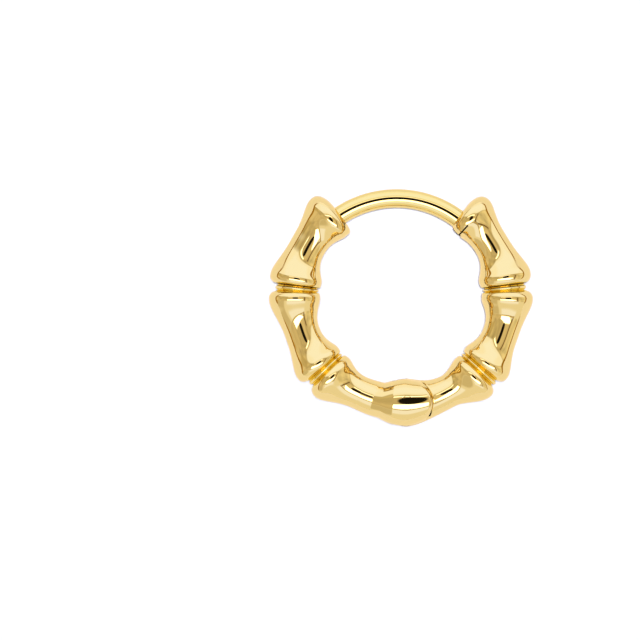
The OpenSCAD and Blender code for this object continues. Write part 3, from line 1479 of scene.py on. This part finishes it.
@dataclass(frozen=True)
class Panel:
    """A soft-edged panel of the studio, in degrees from straight up: +U to the right, +V away from the hinge.

    Each cut (a, b, c) keeps the side on which a U + b V + c is above zero.
    """

    name: str
    colour: Colour
    u: Pair = (-200.0, 200.0)
    v: Pair = (-200.0, 200.0)
    tilt: float = 0.0
    cuts: tuple[tuple[float, float, float], ...] = ()
    blur: float = 4.0
    uneven: bool = False

    def mask(self, sheet: SkySheet) -> Socket:
        """The part of the sky that the panel covers.

        Args:
            sheet: The nodes that it is added to.

        Returns:
            1 inside and 0 outside.
        """
        leaned = sheet.math("MULTIPLY_ADD", sheet.u, self.tilt, sheet.v)
        inside = [
            sheet.math("SUBTRACT", sheet.u, self.u[0]),
            sheet.math("SUBTRACT", self.u[1], sheet.u),
            sheet.math("SUBTRACT", leaned, self.v[0]),
            sheet.math("SUBTRACT", self.v[1], leaned),
        ]
        for a, b, c in self.cuts:
            inside.append(sheet.math("MULTIPLY_ADD", sheet.v, b, sheet.math("MULTIPLY_ADD", sheet.u, a, c)))
        return sheet.within(inside, self.blur)


@dataclass(frozen=True)
class Disc:
    """A soft-edged round spot of the studio, such as the camera's dark front."""

    name: str
    colour: Colour
    centre: Pair
    radius: float
    blur: float = 2.0
    uneven: bool = False

    def mask(self, sheet: SkySheet) -> Socket:
        """The part of the sky that the spot covers.

        Args:
            sheet: The nodes that it is added to.

        Returns:
            1 inside and 0 outside.
        """
        du = sheet.math("SUBTRACT", sheet.u, self.centre[0])
        dv = sheet.math("SUBTRACT", sheet.v, self.centre[1])
        far = sheet.math("SQRT", sheet.math("MULTIPLY_ADD", du, du, sheet.math("MULTIPLY", dv, dv)))
        return sheet.edge(sheet.math("SUBTRACT", self.radius, far), self.blur)


STUDIO = (
    Panel("lower cards", (0.95, 0.97, 1.04), v=(-200.0, -26.0), blur=5.0),
    Panel("bright lower card", (1.08, 1.22, 1.85), u=(-26.0, 40.0), v=(-52.0, -28.0), blur=10.0),
    Panel("left card", (0.70, 0.67, 0.60), u=(-78.0, -38.0), v=(-62.0, -26.0), blur=9.0),
    Panel("far wall", (1.12, 1.23, 1.61), v=(20.0, 200.0), blur=5.0),
    Panel("far wall's middle", (1.13, 1.30, 1.93), u=(-36.0, 50.0), v=(28.0, 68.0), blur=16.0),
    Panel(
        "near left wall",
        (0.68, 0.63, 0.50),
        u=(-200.0, -18.0),
        v=(-24.0, 6.0),
        tilt=0.5,
        blur=7.0,
        uneven=True,
    ),
    Panel(
        "left side",
        (0.62, 0.55, 0.38),
        u=(-200.0, -58.0),
        v=(-24.0, 5.0),
        tilt=0.5,
        blur=8.0,
        uneven=True,
    ),
    Panel("right side", (0.87, 0.84, 0.73), u=(47.0, 200.0), v=(-38.0, 16.0), blur=5.0, uneven=True),
    Panel("left doorway", (0.55, 0.31, 0.0), u=(-200.0, -75.0), v=(-62.0, -20.0), blur=5.0),
    Panel("doorway's shade", (0.26, 0.1, 0.0), u=(-88.0, -80.0), v=(-56.0, -26.0), blur=4.0),
    Panel("strip's frame", (0.2, 0.14, 0.07), u=(35.0, 40.5), v=(-38.0, 9.0), blur=3.0),
    Panel("strip's lower edge", (0.59, 0.49, 0.31), u=(-24.0, 40.0), v=(-30.5, -25.5), tilt=0.17, blur=2.0),
    Panel(
        "lit strip",
        (3.5, 3.6, 4.4),
        u=(-25.0, 31.0),
        cuts=((0.17, 1.0, 25.5), (-0.578, 1.0, 38.0), (-0.3, -1.0, -6.0), (0.15, -1.0, -6.0)),
        blur=2.5,
    ),
    Panel("thin upper strip", (2.2, 2.3, 2.9), u=(-22.0, 14.0), v=(11.0, 15.0), blur=2.5),
    Disc("camera", (0.012, 0.01, 0.008), centre=(3.0, 1.0), radius=8.3),
)


@dataclass(frozen=True)
class StudioSky:
    """The studio all round: light panels and cards that the polished gold mirrors.

    The horizon is a dark ring low in the sky, which fades out at its ends in V. The floor gets only its share
    of the sky's light, because the lamps light it. The patches are the noise levels at which the walls are at
    their darkest and brightest.
    """

    wall: Colour = (0.72, 0.66, 0.54)
    horizon: Colour = (0.4, 0.22, 0.0)
    horizon_span: Pair = (81.5, 84.5)
    horizon_ends: Pair = (-45.0, 72.0)
    horizon_blur: float = 20.0
    floor_share: float = 0.09
    unevenness: Pair = (0.72, 1.2)
    patches: Pair = (0.3, 0.7)
    patch_scale: float = 2.6
    patch_detail: float = 2.0
    backdrop: Colour = (0.98, 0.98, 0.98)
    things: tuple[Panel | Disc, ...] = STUDIO

    # Keeps the chart from dividing by zero straight overhead.
    LEAST_FLAT = 1e-6

    def edge_group(self) -> bpy.types.NodeTree:
        """A shader group that goes softly from 0 to 1 as Value passes zero.

        Returns:
            The group, with the inputs Value and Blur and the output Mask.
        """
        tree = bpy.data.node_groups.new("soft_edge", "ShaderNodeTree")
        for name in ("Value", "Blur"):
            tree.interface.new_socket(name, in_out="INPUT", socket_type="NodeSocketFloat")
        tree.interface.new_socket("Mask", in_out="OUTPUT", socket_type="NodeSocketFloat")
        sheet = NodeSheet(tree)
        given = sheet.add("NodeGroupInput").outputs
        step = sheet.add("ShaderNodeMapRange", interpolation_type="SMOOTHSTEP")
        sheet.feed(step.inputs["Value"], given["Value"])
        sheet.feed(step.inputs["From Min"], sheet.math("MULTIPLY", given["Blur"], -0.5))
        sheet.feed(step.inputs["From Max"], sheet.math("MULTIPLY", given["Blur"], 0.5))
        sheet.feed(sheet.add("NodeGroupOutput").inputs["Mask"], step.outputs["Result"])
        return tree

    def chart_group(self) -> bpy.types.NodeTree:
        """A shader group that turns a direction into degrees from straight up and its two parts, U and V.

        Returns:
            The group, with the input Direction and the outputs Tip, U and V.
        """
        tree = bpy.data.node_groups.new("sky_chart", "ShaderNodeTree")
        tree.interface.new_socket("Direction", in_out="INPUT", socket_type="NodeSocketVector")
        for name in ("Tip", "U", "V"):
            tree.interface.new_socket(name, in_out="OUTPUT", socket_type="NodeSocketFloat")
        sheet = NodeSheet(tree)
        parts = sheet.add("ShaderNodeSeparateXYZ")
        sheet.feed(parts.inputs[0], sheet.add("NodeGroupInput").outputs["Direction"])
        x, y, z = parts.outputs
        tip = sheet.math("DEGREES", sheet.math("ARCCOSINE", z))
        flat = sheet.math("SQRT", sheet.math("MULTIPLY_ADD", x, x, sheet.math("MULTIPLY", y, y)))
        scale = sheet.math("DIVIDE", tip, sheet.math("MAXIMUM", flat, self.LEAST_FLAT))
        out = sheet.add("NodeGroupOutput").inputs
        sheet.feed(out["Tip"], tip)
        sheet.feed(out["U"], sheet.math("MULTIPLY", x, scale))
        sheet.feed(out["V"], sheet.math("MULTIPLY", y, scale))
        return tree

    def unevenly(self, sheet: SkySheet) -> Socket:
        """A soft unevenness that the plain walls are multiplied by.

        Args:
            sheet: The nodes that it is added to.

        Returns:
            The level.
        """
        level = sheet.add("ShaderNodeMapRange")
        sheet.feed(level.inputs["Value"], sheet.noise(sheet.direction, self.patch_scale, self.patch_detail))
        limits = (*self.patches, *self.unevenness)
        for name, value in zip(("From Min", "From Max", "To Min", "To Max"), limits):
            sheet.feed(level.inputs[name], value)
        return level.outputs["Result"]

    def painted(self, sheet: SkySheet) -> Socket:
        """The colour of the sky in every direction.

        Args:
            sheet: The nodes that it is added to.

        Returns:
            The colour.
        """
        level = self.unevenly(sheet)
        colour = sheet.scaled(self.wall, level)
        for thing in self.things:
            over = sheet.scaled(thing.colour, level) if thing.uneven else (*thing.colour, 1)
            colour = sheet.mixed(thing.mask(sheet), colour, over)
            log.info("studio: %s", thing.name)
        low, high = self.horizon_span
        ring = sheet.edge(sheet.math("SUBTRACT", sheet.tip, (low + high) / 2), high - low)
        start, end = self.horizon_ends
        ends = (sheet.math("SUBTRACT", sheet.v, start), sheet.math("SUBTRACT", end, sheet.v))
        return sheet.mixed(sheet.within(ends, self.horizon_blur, ring), colour, (*self.horizon, 1))

    def build(self) -> bpy.types.World:
        """Builds the world.

        Returns:
            The world, in which the camera itself sees only the plain backdrop.
        """
        world = bpy.data.worlds.new("studio")
        bpy.context.scene.world = world
        world.use_nodes = True
        world.node_tree.nodes.clear()
        sheet = SkySheet(world.node_tree, self.edge_group(), self.chart_group())
        path = sheet.add("ShaderNodeLightPath").outputs
        light = sheet.add("ShaderNodeBackground")
        seen = sheet.mixed(path["Is Camera Ray"], self.painted(sheet), (*self.backdrop, 1))
        sheet.feed(light.inputs["Color"], seen)
        by_floor = sheet.math("MINIMUM", path["Diffuse Depth"], 1.0)
        dimmed = sheet.math("MULTIPLY", by_floor, self.floor_share - 1)
        sheet.feed(light.inputs["Strength"], sheet.math("ADD", dimmed, 1.0))
        sheet.feed(sheet.add("ShaderNodeOutputWorld").inputs["Surface"], light.outputs[0])
        return world


@dataclass(frozen=True)
class Floor:
    """The pale floor that the earring lies on."""

    width: float = 0.6
    colour: Colour = (0.86, 0.86, 0.86)
    roughness: float = 0.9
    gloss: float = 0.0

    def build(self) -> bpy.types.Object:
        """Lays the floor at height zero.

        Returns:
            The floor, which isn't part of the earring.
        """
        half = self.width / 2
        corners = [(-half, -half, 0), (half, -half, 0), (half, half, 0), (-half, half, 0)]
        mesh = bpy.data.meshes.new("floor")
        mesh.from_pydata(corners, [], [(0, 1, 2, 3)])
        piece = new_object("floor", mesh)
        material = bpy.data.materials.new("pale_floor")
        material.use_nodes = True
        shader = material.node_tree.nodes["Principled BSDF"]
        shader.inputs["Base Color"].default_value = (*self.colour, 1)
        shader.inputs["Roughness"].default_value = self.roughness
        shader.inputs["Specular IOR Level"].default_value = self.gloss
        mesh.materials.append(material)
        return piece


@dataclass(frozen=True)
class Lamp:
    """A soft light from above, leaning over from the ear post's side. The polished gold doesn't mirror it."""

    name: str
    tilt_deg: float
    spread_deg: float
    strength: float
    colour: Colour = (1.0, 1.03, 1.2)

    def build(self) -> bpy.types.Object:
        """Hangs the light.

        Returns:
            The lamp.
        """
        data = bpy.data.lights.new(self.name, "SUN")
        data.angle = math.radians(self.spread_deg)
        data.energy = self.strength
        data.color = self.colour
        lamp = bpy.data.objects.new(self.name, data)
        lamp.rotation_euler = (-math.radians(self.tilt_deg), 0, 0)
        lamp.visible_glossy = False
        bpy.context.scene.collection.objects.link(lamp)
        log.info("light: %s", self.name)
        return lamp


LAMPS = (
    Lamp("overhead_light", tilt_deg=0.8, spread_deg=3.0, strength=3.08),
    Lamp("soft_side_light", tilt_deg=12.0, spread_deg=20.0, strength=0.24),
)


@dataclass(frozen=True)
class OverheadCamera:
    """A long lens straight above the spot that the picture is centred on, in millimetres."""

    over: Pair = (-4.149, -0.602)
    height: float = 400.0
    seen_w: float = 32.7
    sensor_w: float = 36.0
    nearest_m: float = 0.01

    def build(self, plane_z: float) -> bpy.types.Object:
        """Places the camera.

        Args:
            plane_z: Height of the hoop's own plane, in millimetres, where the picture's width is measured.

        Returns:
            The camera object.
        """
        data = bpy.data.cameras.new("camera")
        data.sensor_width = self.sensor_w
        data.lens = self.sensor_w * self.height / self.seen_w
        data.clip_start = self.nearest_m
        data.dof.use_dof = False
        camera = bpy.data.objects.new("camera", data)
        camera.location = Vector((*self.over, plane_z + self.height)) * MM
        bpy.context.scene.collection.objects.link(camera)
        bpy.context.scene.camera = camera
        return camera


def main() -> None:
    """Builds the earring, then the studio and the camera, and logs each piece's face count."""
    logging.basicConfig(level=logging.INFO, format="%(message)s")
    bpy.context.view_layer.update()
    sizes = KnuckleSizes()
    rule = BambooTube(TubeSizes(), sizes, BOTTOM)
    turn = math.radians(sizes.pin_angle)
    hinge = Vector(frame["joints"][0]["pos_m"])
    middle = hinge - Vector((math.cos(turn), math.sin(turn), 0)) * sizes.pin_reach * MM
    sweeper = Sweeper(SweptTubeTree().build(), middle)
    pin = PinFrame(middle, sizes)
    gold = GoldFinish("polished_yellow_gold").build()
    pin_gold = GoldFinish("filed_yellow_gold").build()
    post = PostHalf(rule, sweeper, pin)
    for piece in (
        post.build(gold),
        CatchHalf(rule, sweeper, pin, post).build(gold),
        FlushPin(rule, sweeper, pin).build(pin_gold),
    ):
        log.info("%s: %d faces", piece.name, len(piece.data.polygons))
    Floor().build()
    StudioSky().build()
    for lamp in LAMPS:
        lamp.build()
    OverheadCamera().build(middle.z / MM)
    bpy.context.scene.view_settings.view_transform = "Standard"


if __name__ == "__main__":
    main()
